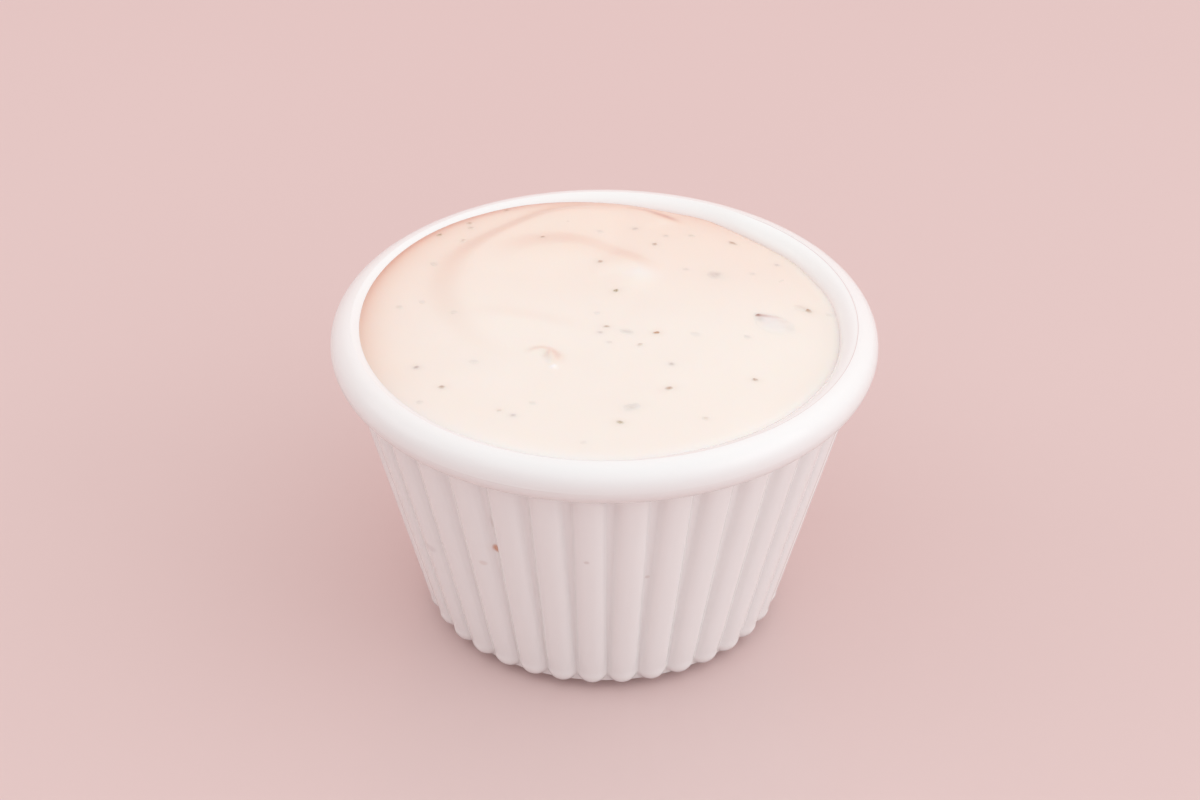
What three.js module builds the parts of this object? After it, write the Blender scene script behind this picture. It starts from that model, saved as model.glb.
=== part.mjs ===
// A small fluted ramekin filled to the brim with garlic mayonnaise.
// Millimetres, +Z up. The origin is on the axis, on the plane the foot ring stands on.
// -Y is the front. Two pieces: the ramekin, and the mayonnaise that fills it.
import * as THREE from 'three';
import { mergeVertices } from 'three/addons/utils/BufferGeometryUtils.js';

// ---- driving dimensions ----------------------------------------------------
const RIM_D = 73.0;            // over the rim bead
const CUP_H = 44.3;            // foot ring to the top of the bead
const BEAD_R = 2.95;           // radius of the rounded rim bead
const BEAD_CR = RIM_D / 2 - BEAD_R;  // bead centre, from the axis
const BEAD_CZ = CUP_H - BEAD_R;      // bead centre, height

const RIBS = 36;               // upright ribs round the wall
const RIB_PHASE = -93.27 * Math.PI / 180;  // where one rib's crown stands
const CROWN_LOW_R = 24.78;     // radius over the crowns, just above the rounded rib ends
const CROWN_TOP_R = 34.78;     // the same line carried up to the bead's centre height
const RIB_END_R = 2.4;         // radius of the rounded lower end of a rib
const RIB_DEPTH_LOW = 1.15;    // crown to valley, near the base
const RIB_DEPTH_TOP = 1.3;     // crown to valley, under the bead
const LIFT = 0.9;              // the rib ends and the base hang this far above the table

const FOOT_OUT = 20.9;         // foot ring, flat part
const FOOT_IN = 18.3;
const RECESS = 0.5;            // hollow inside the foot ring

const CREST_R = 33.75;         // where the inner shoulder leaves the bead's crest
const SHOULDER_R = 2.95;       // radius of the inner shoulder
const SHOULDER_A0 = 9 * Math.PI / 180;
const SHOULDER_A1 = 75.7 * Math.PI / 180;
const WALL_SLOPE = 0.255;      // inner wall: radius gained per unit of height
const FLOOR_Z = 4.2;           // inside floor
const FLOOR_FILLET = 3.0;      // inside corner

const GAP = 0.35;              // clearance between the mayonnaise and the ramekin
const MAYO_TOP = 44.55;        // mean height of the middle of the surface
// height of the surface where it meets the wall: lowest on the right (+X)
const EDGE_MEAN = 43.36, EDGE_X = -0.91, EDGE_Y = -0.32, EDGE_2 = -0.41;
const DOME_POWER = 3.0;        // how late the surface falls away towards the wall
// two spoon swirls: arcs of a circle, each a low ridge on the surface
const SWIRLS = [
  { cx: 0.2, cy: 9.0, r: 20.6, from: 95, to: 228, height: 0.34, width: 3.0 },
  { cx: -4.5, cy: 8.0, r: 11.6, from: 28, to: 140, height: 0.30, width: 2.4 },
];
const DIMPLE = { x: 3.8, y: 10.5, r: 3.2, height: 0.22 };   // soft peak where the inner swirl ends

const SEG_RIB = 5;             // facets round each rib
const MAYO_SEG = 60;
const deg = (a) => a * Math.PI / 180;

// ---- shared helpers ----------------------------------------------------------
const smooth = (t) => { const c = Math.min(1, Math.max(0, t)); return c * c * (3 - 2 * c); };
const crownR = (z) => CROWN_TOP_R - (BEAD_CZ - z) * (CROWN_TOP_R - CROWN_LOW_R) / (BEAD_CZ - LIFT - RIB_END_R);
const shoulder = (a) => [
  CREST_R - SHOULDER_R * (Math.sin(a) - Math.sin(SHOULDER_A0)),
  CUP_H - SHOULDER_R * (Math.cos(SHOULDER_A0) - Math.cos(a)),
];
const [WALL_TOP_R, WALL_TOP_Z] = shoulder(SHOULDER_A1);

// inner radius of the ramekin at a height
function innerR(z) {
  if (z <= WALL_TOP_Z) return WALL_TOP_R - WALL_SLOPE * (WALL_TOP_Z - z);
  const c = Math.cos(SHOULDER_A0) - (CUP_H - z) / SHOULDER_R;
  return CREST_R - SHOULDER_R * (Math.sqrt(1 - c * c) - Math.sin(SHOULDER_A0));
}

// A lathed profile (radius, height) turned about +Z, with its seam and poles welded.
function lathe(profile, segments, shape) {
  const g = new THREE.LatheGeometry(profile.map(([r, z]) => new THREE.Vector2(r, z)), segments);
  g.rotateX(Math.PI / 2);
  const p = g.attributes.position;
  if (shape) {
    const rows = profile.length;
    for (let i = 0; i < p.count; i++) {
      const column = Math.floor(i / rows) % segments, row = i % rows;
      const a = -Math.PI / 2 + column * 2 * Math.PI / segments;
      const [r, z] = shape(row, a, profile[row]);
      p.setXYZ(i, r * Math.cos(a), r * Math.sin(a), z);
    }
  }
  return weld(g);
}

function weld(g) {
  g.deleteAttribute('normal');
  g.deleteAttribute('uv');
  const m = mergeVertices(g, 1e-4);
  const idx = m.index.array, keep = [];
  for (let i = 0; i < idx.length; i += 3) {
    const [a, b, c] = [idx[i], idx[i + 1], idx[i + 2]];
    if (a !== b && b !== c && a !== c) keep.push(a, b, c);
  }
  m.setIndex(keep);
  m.computeVertexNormals();
  return m;
}

// ---- ramekin -------------------------------------------------------------------
// share of the rib depth that is cut away, at u pitches from the crown
const ribCut = (u) => {
  const t = Math.abs(u) / 0.4;
  return t >= 1 ? 1 : 0.86 * Math.pow(t, 2.2) + 0.14 * smooth((t - 0.6) / 0.4);
};

function ramekinGeometry() {
  const rows = [];            // { r, z } for smooth rows, { crown, z, cut } for ribbed rows
  const add = (r, z) => rows.push({ r, z });
  add(0, RECESS);
  add(FOOT_IN - 0.5, RECESS);
  add(FOOT_IN, 0);
  add(FOOT_OUT, 0);
  add(FOOT_OUT + 0.35, LIFT);
  const endR = CROWN_LOW_R - RIB_END_R, endZ = LIFT + RIB_END_R;
  for (const a of [0, 32, 58, 82]) {
    const crown = endR + RIB_END_R * Math.sin(deg(a));
    const z = endZ - RIB_END_R * Math.cos(deg(a));
    rows.push({ crown, z, core: Math.min(crown, crownR(z) - RIB_DEPTH_LOW) });
  }
  const zt = BEAD_CZ - 2.91;
  rows.push({ crown: crownR(zt), z: zt, core: crownR(zt) - RIB_DEPTH_TOP });
  for (const a of [-58, -28, 0, 32, 61, 90]) add(BEAD_CR + BEAD_R * Math.cos(deg(a)), BEAD_CZ + BEAD_R * Math.sin(deg(a)));
  for (const a of [20, 42, 60]) add(...shoulder(deg(a)));
  add(WALL_TOP_R, WALL_TOP_Z);
  const cornerR = innerR(FLOOR_Z + FLOOR_FILLET);
  add(cornerR, FLOOR_Z + FLOOR_FILLET);
  add(cornerR - 0.95, FLOOR_Z + 0.85);
  add(cornerR - 3.0, FLOOR_Z);
  add(0, FLOOR_Z);

  const profile = rows.map((q) => [q.crown ?? q.r, q.z]);
  return lathe(profile, RIBS * SEG_RIB, (row, a) => {
    const q = rows[row];
    if (q.crown === undefined) return [q.r, q.z];
    const pitch = 2 * Math.PI / RIBS;
    let u = ((a - RIB_PHASE) / pitch) % 1;
    if (u < -0.5) u += 1; else if (u > 0.5) u -= 1;
    return [q.crown - (q.crown - q.core) * ribCut(u), q.z];
  });
}

// ---- mayonnaise ------------------------------------------------------------------
const edgeZ = (a) => EDGE_MEAN + EDGE_X * Math.cos(a) + EDGE_Y * Math.sin(a) + EDGE_2 * Math.cos(2 * a);
const edgeR = (a) => innerR(edgeZ(a) - 0.1) - GAP;

function surfaceZ(x, y) {
  const a = Math.atan2(y, x), rho = Math.min(1, Math.hypot(x, y) / edgeR(a));
  const fade = 1 - smooth((rho - 0.8) / 0.2);
  let z = MAYO_TOP + (edgeZ(a) - MAYO_TOP) * Math.pow(rho, DOME_POWER);
  for (const s of SWIRLS) {
    let t = Math.atan2(y - s.cy, x - s.cx) * 180 / Math.PI;
    if (t < s.from - 40) t += 360;
    const along = smooth((t - s.from + 12) / 24) * smooth((s.to + 12 - t) / 24);
    const off = (Math.hypot(x - s.cx, y - s.cy) - s.r) / s.width;
    z += s.height * along * Math.exp(-off * off) * fade;
  }
  const d2 = ((x - DIMPLE.x) ** 2 + (y - DIMPLE.y) ** 2) / DIMPLE.r ** 2;
  return z + DIMPLE.height * Math.exp(-d2) * fade;
}

function mayonnaiseGeometry() {
  const low = FLOOR_Z + GAP, cornerR = innerR(FLOOR_Z + FLOOR_FILLET) - GAP;
  const rows = [
    [0, low], [cornerR - 3.0, low], [cornerR - 0.95, low + 0.95], [cornerR, FLOOR_Z + FLOOR_FILLET],
    [innerR(36) - GAP, 36], [innerR(40.5) - GAP, 40.5],
  ];
  const side = rows.length;
  for (let k = 1; k <= 3; k++) rows.push([1, k / 3]);                  // up the shoulder to the edge
  for (const f of [0.94, 0.86, 0.76, 0.65, 0.54, 0.43, 0.32, 0.21, 0.1]) rows.push([f, 2]);
  rows.push([0, 2]);
  return lathe(rows, MAYO_SEG, (row, a) => {
    const [r, t] = rows[row];
    if (row < side) return [r, t];
    if (t <= 1) {
      const z = 40.5 + (edgeZ(a) - 40.5) * t;
      return [innerR(z - 0.1) - GAP, z];
    }
    const rr = r * edgeR(a);
    return [rr, surfaceZ(rr * Math.cos(a), rr * Math.sin(a))];
  });
}

// ---- the part --------------------------------------------------------------------
function piece(name, geometry, color, roughness) {
  const m = new THREE.Mesh(geometry, new THREE.MeshStandardMaterial({ color, roughness, metalness: 0 }));
  m.name = name;
  return m;
}

const part = new THREE.Group();
part.name = 'garlic_mayonnaise_ramekin';
part.add(piece('ramekin', ramekinGeometry(), 0xf7f5f4, 0.22));
part.add(piece('garlic_mayonnaise', mayonnaiseGeometry(), 0xfaf0e4, 0.3));

export default part;
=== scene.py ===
"""Garlic mayonnaise in its fluted white ramekin: the looks.

Lengths below are in millimetres and MM turns them into metres. +Z is up, the origin is under the middle of
the foot, the photograph is taken from -Y. Angles are degrees round +Z from +X.
"""

import math

import bpy
import numpy as np
from mathutils import Matrix, Vector


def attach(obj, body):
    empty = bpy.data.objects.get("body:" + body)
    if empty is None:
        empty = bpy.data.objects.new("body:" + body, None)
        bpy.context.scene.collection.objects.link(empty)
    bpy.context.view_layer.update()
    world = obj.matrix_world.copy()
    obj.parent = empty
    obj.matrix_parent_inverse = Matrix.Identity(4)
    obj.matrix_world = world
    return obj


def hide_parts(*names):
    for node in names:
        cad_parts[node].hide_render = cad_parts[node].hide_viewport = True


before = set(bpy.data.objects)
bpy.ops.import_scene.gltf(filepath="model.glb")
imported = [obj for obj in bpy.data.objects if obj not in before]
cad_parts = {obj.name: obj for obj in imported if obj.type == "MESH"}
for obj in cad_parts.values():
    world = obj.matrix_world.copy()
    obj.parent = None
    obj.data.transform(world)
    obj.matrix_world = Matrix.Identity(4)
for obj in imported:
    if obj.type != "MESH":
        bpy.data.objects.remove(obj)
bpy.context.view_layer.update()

MM = 0.001
DEG = math.pi / 180.0
rng = np.random.default_rng(41)

# ---------------------------------------------------------------- named sizes (as in the CAD)
RIBS = 36
RIB_PHASE = -93.27
CUP_H = 44.3
BEAD_C_R, BEAD_C_Z, BEAD_R = 33.55, 41.35, 2.93
CROWN_LOW_R, CROWN_LOW_Z, CROWN_TOP_R, CROWN_TOP_Z = 24.78, 3.3, 34.78, 41.35
RIB_SLOPE = (CROWN_TOP_R - CROWN_LOW_R) / (CROWN_TOP_Z - CROWN_LOW_Z)
RIB_END_R = 2.4
END_C_R = CROWN_LOW_R - RIB_END_R
DEPTH_LOW, DEPTH_TOP = 1.15, 1.3
LIFT = 0.9
CORE_C_R, CORE_C_Z, CORE_ROUND = 22.5, 1.4, 0.5
CREST_R, SH_R = 33.75, 2.95
SH_A0, SH_A1 = 9.0 * DEG, 75.7 * DEG
WALL_SLOPE = 0.255
WALL_T_R = CREST_R - SH_R * (math.sin(SH_A1) - math.sin(SH_A0))
WALL_T_Z = CUP_H - SH_R * (math.cos(SH_A0) - math.cos(SH_A1))
FLOOR_Z, FLOOR_FILLET = 4.2, 3.0


def smooth(t):
    t = np.clip(t, 0.0, 1.0)
    return t * t * (3 - 2 * t)


def lerp(a, b, t):
    return a + (b - a) * t


class Noise:
    """Smooth value noise on a seeded lattice, in two dimensions, about -1 to 1."""

    def __init__(self, seed, n=128):
        self.n = n
        self.g = np.random.default_rng(seed).uniform(-1, 1, (n, n))

    def __call__(self, x, y):
        x = np.asarray(x, float)
        y = np.asarray(y, float)
        xi, yi = np.floor(x).astype(int), np.floor(y).astype(int)
        fx, fy = x - xi, y - yi
        fx = fx ** 3 * (fx * (fx * 6 - 15) + 10)
        fy = fy ** 3 * (fy * (fy * 6 - 15) + 10)
        n, g = self.n, self.g
        a = g[xi % n, yi % n]
        b = g[(xi + 1) % n, yi % n]
        c = g[xi % n, (yi + 1) % n]
        d = g[(xi + 1) % n, (yi + 1) % n]
        return (a * (1 - fx) + b * fx) * (1 - fy) + (c * (1 - fx) + d * fx) * fy


def make_mesh(name, verts, faces, colors=None):
    me = bpy.data.meshes.new(name)
    me.from_pydata((np.asarray(verts, float) * MM).tolist(), [], [tuple(int(i) for i in f) for f in faces])
    me.validate()
    me.polygons.foreach_set("use_smooth", np.ones(len(me.polygons), bool))
    if colors is not None:
        for key, arr in colors.items():
            att = me.color_attributes.new(key, "FLOAT_COLOR", "POINT")
            full = np.ones((len(verts), 4), np.float32)
            full[:, :3] = arr
            att.data.foreach_set("color", full.ravel())
    me.update()
    ob = bpy.data.objects.new(name, me)
    bpy.context.scene.collection.objects.link(ob)
    return ob


# ---------------------------------------------------------------- the ramekin
U_HALF = [0.06, 0.12, 0.18, 0.24, 0.29, 0.33, 0.37, 0.405, 0.445]
U_RIB = sorted([-u for u in U_HALF] + [0.0] + U_HALF) + [0.5]
COLS = RIBS * len(U_RIB)
rib_u = np.tile(np.array(U_RIB), RIBS)
rib_k = np.repeat(np.arange(RIBS), len(U_RIB))
theta = (RIB_PHASE + (rib_k + rib_u) * 360.0 / RIBS) * DEG
th_deg = (np.degrees(theta) + 180.0) % 360.0 - 180.0
cos_t, sin_t = np.cos(theta), np.sin(theta)


def crown_r(z):
    return CROWN_TOP_R - (CROWN_TOP_Z - z) * RIB_SLOPE


def core_r(z):
    low = CORE_C_R + math.sqrt(max(CORE_ROUND ** 2 - min(CORE_C_Z - z, CORE_ROUND) ** 2, 0.0)) if z < CORE_C_Z else None
    return low if low is not None else CORE_C_R + CORE_ROUND + RIB_SLOPE * (z - CORE_C_Z)


def rib_radius(z):
    """Radius of the fluted wall at height z, for every column."""
    f = (z - CROWN_LOW_Z) / (CROWN_TOP_Z - CROWN_LOW_Z)
    depth = lerp(DEPTH_LOW, DEPTH_TOP, max(f, 0.0))
    rc = crown_r(max(z, CROWN_LOW_Z))
    pitch = 2 * math.pi * (rc - 0.5 * depth) / RIBS
    valley = lerp(0.38, 1.38, min(max(f, 0.0) / 0.92, 1.0))
    w = (pitch - valley) / 2
    n = 400
    s = (np.arange(n) / n - 0.5) * pitch
    x = np.minimum(np.abs(s) / w, 1.0)
    if z >= CROWN_LOW_Z:
        flat = depth * (1 - (1 - x ** 2.4) ** 0.55)
        ball = np.minimum(RIB_END_R - np.sqrt(np.maximum(RIB_END_R ** 2 - s * s, 0)), depth)
        r = rc - lerp(ball, flat, smooth((z - CROWN_LOW_Z) / 3.0))
    else:
        q = math.sqrt(max(RIB_END_R ** 2 - (CROWN_LOW_Z - z) ** 2, 0.0))
        r = np.maximum(END_C_R + np.sqrt(np.maximum(q * q - s * s, 0)), core_r(z))
    k = np.arange(-24, 25) * pitch / n
    sig = lerp(0.10, 0.15, min(max(f, 0.0), 1.0))
    g = np.exp(-0.5 * (k / sig) ** 2)
    g /= g.sum()
    r = np.convolve(np.r_[r[-24:], r, r[:24]], g, "valid")
    rr = np.interp(rib_u, np.r_[s / pitch, 0.5], np.r_[r, r[0]])
    return rr


# height at which the mayonnaise meets the ramekin, going round: (degrees, mm)
CONTACT = [(0, 42.0), (8, 42.2), (15, 42.4), (25, 42.15), (33, 42.4), (45, 42.2), (52, 42.3), (58, 42.6), (63, 42.9), (67, 42.92), (72, 42.84), (77, 42.9),
           (82, 43.15), (91, 43.4), (101.5, 43.66), (112, 43.84), (120, 43.89), (130, 43.98), (140, 44.0), (150, 43.96), (160, 43.91),
           (170, 43.86), (180, 43.82), (190, 43.86), (200, 43.88), (212, 43.95), (224, 44.05), (236, 44.1), (244, 44.15),
           (252, 44.22), (264, 44.24), (274, 44.24), (282, 44.16), (292, 43.78), (305, 43.2), (320, 42.6), (335, 42.15), (350, 41.98)]
_t = np.radians(np.array([c[0] for c in CONTACT], float))
_h = np.array([c[1] for c in CONTACT])
_g = np.linspace(0, 2 * np.pi, 1441)[:-1]
_l = np.interp(_g, np.r_[_t - 2 * np.pi, _t, _t + 2 * np.pi], np.r_[_h, _h, _h])
_k = np.exp(-0.5 * (np.arange(-40, 41) * 0.25 / 2.5) ** 2)
_k /= _k.sum()
_s = np.convolve(np.r_[_l[-40:], _l, _l[:40]], _k, "valid")


def inner_r(z):
    z = np.asarray(z, float)
    c = np.clip(math.cos(SH_A0) - (CUP_H - z) / SH_R, -1, 1)
    sh = CREST_R - SH_R * (np.sqrt(np.maximum(1 - c * c, 0)) - math.sin(SH_A0))
    return np.where(z <= WALL_T_Z, WALL_T_R - WALL_SLOPE * (WALL_T_Z - z), np.minimum(sh, CREST_R + 0.2))


def edge_z(a):
    return np.interp(np.mod(a, 2 * np.pi), np.r_[_g, 2 * np.pi], np.r_[_s, _s[0]])


def table(a, rows, col):
    t = np.radians([r[0] for r in rows])
    v = np.array([r[col] for r in rows], float)
    g = np.linspace(0, 2 * np.pi, 721)[:-1]
    f = np.interp(g, np.r_[t[-1] - 2 * np.pi, t, t[0] + 2 * np.pi], np.r_[v[-1], v, v[0]])
    k = np.exp(-0.5 * (np.arange(-40, 41) * 0.5 / 6.0) ** 2)
    f = np.convolve(np.r_[f[-40:], f, f[:40]], k / k.sum(), "valid")
    return np.interp(np.mod(a, 2 * np.pi), np.r_[g, 2 * np.pi], np.r_[f, f[0]])


# painted shade and rosy reflection on the wall just above the filling, how strong going round: (degrees, amount)
WALL_PAINTED_SHADE = [(0, 1.0), (30, 0.8), (50, 0.5), (65, 0.3), (90, 0.0), (270, 0.0), (300, 0.3), (325, 0.8), (345, 1.0)]


def build_ramekin():
    rings = []      # each is (radius array, z array)

    def ring(r, z):
        rings.append((np.broadcast_to(np.asarray(r, float), (COLS,)).copy(), np.broadcast_to(np.asarray(z, float), (COLS,)).copy()))

    # underside, foot ring
    for r, z in [(9.0, 0.5), (17.3, 0.5), (17.85, 0.48), (18.1, 0.38), (18.22, 0.2), (18.36, 0.05), (18.62, 0.0), (20.55, 0.0),
                 (20.8, 0.05), (20.93, 0.22), (21.1, 0.66), (21.24, 0.83), (21.5, LIFT)]:
        ring(r, z)
    # rounded lower ends of the ribs
    for phi in [90, 84, 77, 69, 61, 52, 43, 34, 25, 16, 8]:
        z = CROWN_LOW_Z - RIB_END_R * math.sin(phi * DEG)
        ring(rib_radius(z), z)
    # fluted wall
    zs = list(np.arange(3.3, 6.6, 0.55)) + list(np.linspace(7.2, 37.5, 30))
    for z in zs:
        ring(rib_radius(z), z)
    # where each column meets the bead
    psi0 = np.zeros(COLS)
    zj = np.full(COLS, 38.45)
    table_z = np.linspace(38.0, 38.9, 7)
    table_r = np.array([rib_radius(z) for z in table_z])
    for _ in range(6):
        f = (zj - table_z[0]) / (table_z[1] - table_z[0])
        i = np.clip(np.floor(f).astype(int), 0, len(table_z) - 2)
        f = f - i
        rw = table_r[i, np.arange(COLS)] * (1 - f) + table_r[i + 1, np.arange(COLS)] * f
        psi0 = np.arcsin(np.clip((rw - BEAD_C_R) / BEAD_R, -1, 1))
        zj = BEAD_C_Z - BEAD_R * np.cos(psi0)
    r375 = rib_radius(37.5)
    for t in (0.5, 0.8, 0.93):
        z = lerp(37.5, zj, t)
        ring(lerp(r375, rw, t), z)
    first_bead = len(rings)
    # waviness of the bead's outer edge and the parting flash, both tiny
    flash = 0.022 * (0.55 + 0.45 * np.cos(theta * 7 + 1.0)) * (0.6 + 0.4 * np.cos(theta * 3 - 0.6))
    psis = [psi0 + (42 * DEG - psi0) * t for t in (0.0, 0.06, 0.16, 0.34, 0.56, 0.78)]
    psis += [np.full(COLS, a * DEG) for a in (42, 50, 58, 66, 74, 81, 83.9, 84.6, 85.3, 86.0, 88.5, 94, 101, 108, 115, 122, 129, 136, 143, 150, 156, 162, 168, 173, 176.1)]
    for ps in psis:
        a = float(np.degrees(ps[0]))
        bump = 0.0
        if 84.2 < a < 85.8:
            bump = flash * (1.0 if abs(a - 85.3) < 0.3 else 0.8)
        ring(BEAD_C_R + (BEAD_R + bump) * np.sin(ps), BEAD_C_Z - (BEAD_R + bump) * np.cos(ps) + (CUP_H - BEAD_C_Z - BEAD_R) * smooth((a - 90) / 80.0))
    # crest, with the faint inward step that the mould leaves
    win = smooth((th_deg + 58) / 14) * smooth((62 - th_deg) / 14)
    step = 0.012 + 0.05 * win
    ring(CREST_R - 0.02, CUP_H - 0.002)
    ring(CREST_R - 0.05, CUP_H - 0.5 * step - 0.001)
    crest_line = len(rings)
    ring(CREST_R - 0.10, CUP_H - step)
    ring(CREST_R - 0.16, CUP_H - step - 0.02)
    for t in (0.11, 0.17, 0.24, 0.33, 0.42, 0.51, 0.6, 0.69, 0.78, 0.87, 0.94, 1.0):
        a = lerp(SH_A0, SH_A1, t)
        r = CREST_R - SH_R * (math.sin(a) - math.sin(SH_A0))
        z = CUP_H - SH_R * (math.cos(SH_A0) - math.cos(a))
        ring(r, z - step * max(0.0, 1 - t / 0.3))
    # inner wall, down to the hidden floor
    wall_low = FLOOR_Z + FLOOR_FILLET * (1 - math.sin(14.3 * DEG))
    for z in (41.3, 40.0, 34.0, 24.0, 14.0, wall_low):
        ring(WALL_T_R - WALL_SLOPE * (WALL_T_Z - z), z)
    rl = WALL_T_R - WALL_SLOPE * (WALL_T_Z - wall_low)
    cr = rl - FLOOR_FILLET * math.cos(14.3 * DEG)
    for a in (0, 25, 50, 75):
        b = lerp(-14.3, -90, a / 90.0) * DEG
        if a:
            ring(cr + FLOOR_FILLET * math.cos(b), FLOOR_Z + FLOOR_FILLET + FLOOR_FILLET * math.sin(b))
    ring(cr - 0.5, FLOOR_Z)
    ring(8.0, FLOOR_Z)

    n = len(rings)
    R = np.array([a for a, _ in rings])
    Z = np.array([b for _, b in rings])
    # a small fillet in the corner under the bead
    for _ in range(2):
        for i in range(first_bead - 1, first_bead + 2):
            R[i] = 0.5 * R[i] + 0.25 * (R[i - 1] + R[i + 1])
            Z[i] = 0.5 * Z[i] + 0.25 * (Z[i - 1] + Z[i + 1])
    # colour: painted shade, a fine rosy line along the step on the crest, and painted shade with rosy reflection on the
    # wall just above the filling
    T = np.ones((n, COLS, 3))
    T[crest_line] *= 1 - 0.9 * win[:, None] * np.array([0.12, 0.30, 0.30])
    level = edge_z(theta)
    # painted shade and rosy reflection on the wall, fading upwards from the filling
    painted_wall_shade = table(theta, WALL_PAINTED_SHADE, 1) * np.exp(-np.maximum(Z - level, 0) / 0.42)
    inside = (np.arange(n) > crest_line)[:, None]
    T *= 1 - (painted_wall_shade * inside)[:, :, None] * np.array([-0.04, 0.05, 0.07])
    # painted light: the shoulder on that side is painted a touch lighter
    T *= 1 + (win * inside * smooth((Z - level - 0.2) / 0.8))[:, :, None] * np.array([0.035, 0.055, 0.055])
    verts = np.stack([R * cos_t, R * sin_t, Z], -1).reshape(-1, 3)
    verts = np.vstack([verts, [[0, 0, 0.5]], [[0, 0, FLOOR_Z]]])
    T = np.vstack([T.reshape(-1, 3), np.ones((2, 3))])
    c = np.arange(COLS)
    c2 = (c + 1) % COLS
    faces = []
    for i in range(n - 1):
        a, b = i * COLS, (i + 1) * COLS
        faces.append(np.stack([a + c, a + c2, b + c2, b + c], -1))
    faces = np.concatenate(faces).tolist()
    low, high = n * COLS, n * COLS + 1
    faces += np.stack([np.full(COLS, low), c2, c], -1).tolist()
    last = (n - 1) * COLS
    faces += np.stack([np.full(COLS, high), last + c, last + c2], -1).tolist()
    ob = make_mesh("ramekin_body", verts, faces, {"tint": T})
    return ob, n


ramekin, n_rings = build_ramekin()
print("ramekin rings", n_rings, "tris", 2 * (n_rings - 1) * COLS + 2 * COLS)

# ---------------------------------------------------------------- the mayonnaise surface
MID = 44.42
# general level just inside the edge, and how far in the surface starts to roll down to it: (degrees, level, length)
SHELF = [(0, 42.06, 1.5), (25, 42.34, 1.5), (45, 42.5, 1.6), (65, 43.2, 1.9), (80, 43.8, 2.0), (95, 44.05, 2.0), (110, 44.2, 2.0), (125, 44.25, 2.2),
         (140, 44.3, 2.6), (160, 44.38, 3.6), (180, 44.42, 4.4), (200, 44.38, 4.2), (225, 44.36, 3.2), (250, 44.36, 2.6), (270, 44.36, 2.4),
         (290, 44.02, 2.1), (315, 42.95, 1.7), (340, 42.15, 1.5)]


# folds left by the spoon: centre, how slowly the raised side dies away, how much painted shade and rosy reflection the
# fold carries, how far that spreads inwards, then (angle, radius, height, half width) along each
SWIRLS = [
    (0.2, 9.0, 9.0, 1.0, 1.1, [(82, 21.8, 0.0, 1.4), (93, 21.3, 0.66, 1.6), (106, 20.9, 0.88, 1.7), (117, 20.5, 0.82, 1.5), (126, 20.0, 0.66, 1.3),
                               (135, 20.0, 0.60, 1.25), (144, 20.1, 0.60, 1.4), (153, 20.6, 0.58, 1.7), (162, 21.3, 0.52, 2.0), (175, 21.8, 0.45, 2.4),
                               (190, 22.3, 0.36, 2.4), (205, 22.2, 0.28, 2.3), (220, 22.7, 0.20, 2.2), (238, 23.3, 0.0, 2.0)]),
    (-4.5, 8.0, 3.5, 1.1, 1.7, [(18, 12.0, 0.0, 1.3), (28, 11.8, 0.18, 1.4), (36, 11.5, 0.50, 1.6), (45, 11.2, 0.60, 1.7), (53, 11.0, 0.46, 1.7),
                                (60, 10.9, 0.32, 1.6), (70, 11.0, 0.34, 1.7), (80, 11.4, 0.42, 1.8), (90, 11.8, 0.46, 1.9), (100, 12.05, 0.46, 2.0),
                                (110, 12.4, 0.42, 2.1), (120, 12.6, 0.34, 2.2), (132, 12.8, 0.22, 2.3), (146, 13.0, 0.10, 2.3), (160, 13.0, 0.0, 2.3)]),
    (-8.2, -10.1, 1.4, 1.5, 1.5, [(-58, 2.1, 0.0, 0.5), (-40, 2.1, 0.26, 0.6), (-18, 2.1, 0.70, 0.8), (5, 2.02, 0.82, 0.9), (30, 1.9, 0.66, 0.8),
                                  (60, 2.0, 0.50, 0.65), (90, 2.08, 0.42, 0.6), (115, 2.15, 0.30, 0.6), (137, 2.2, 0.15, 0.6), (158, 2.3, 0.0, 0.6)]),
    (-14.0, -22.0, 4.0, 1.0, 1.0, [(58, 22.3, 0.0, 1.5), (68, 22.3, 0.13, 1.5), (78, 22.5, 0.15, 1.5), (90, 23.0, 0.10, 1.6), (102, 23.4, 0.0, 1.6)]),
    (4.0, 22.6, 2.0, 6.0, 1.2, [(24, 7.8, 0.0, 0.8), (34, 7.25, 0.12, 0.8), (42, 6.9, 0.34, 0.75), (50, 6.65, 0.40, 0.75), (60, 6.6, 0.36, 0.7), (72, 6.75, 0.30, 0.6),
                                (84, 7.0, 0.22, 0.5), (100, 7.4, 0.0, 0.5)]),
]
n1, n2 = Noise(3), Noise(5)


def along(swirl, blur):
    """Radius, height and half width of a fold at every half degree, smoothed along it."""
    k = np.array(swirl[5], float)
    mid = 0.5 * (k[0, 0] + k[-1, 0])
    g = mid + np.arange(-360, 361) * 0.5
    cols = [np.interp(g, k[:, 0], k[:, i]) for i in (1, 2, 3)]
    cols[1] = np.where((g < k[0, 0]) | (g > k[-1, 0]), 0.0, cols[1])
    w = np.exp(-0.5 * (np.arange(-60, 61) * 0.5 / blur) ** 2)
    w /= w.sum()
    return mid, g, [np.convolve(np.r_[np.full(60, c[0]), c, np.full(60, c[-1])], w, "valid") for c in cols]


ALONG = [along(q, b) for q, b in zip(SWIRLS, (4.0, 4.5, 9.0, 4.0, 3.0))]


def across(i, x, y):
    """Distance inside fold i's line, and the fold's height and half width there."""
    cx, cy = SWIRLS[i][:2]
    mid, g, cols = ALONG[i]
    d = np.hypot(x - cx, y - cy)
    t = np.degrees(np.arctan2(y - cy, x - cx))
    t = mid + (t - mid + 180.0) % 360.0 - 180.0
    rad, A, w = (np.interp(t, g, c) for c in cols)
    return rad - d, A, w


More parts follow.
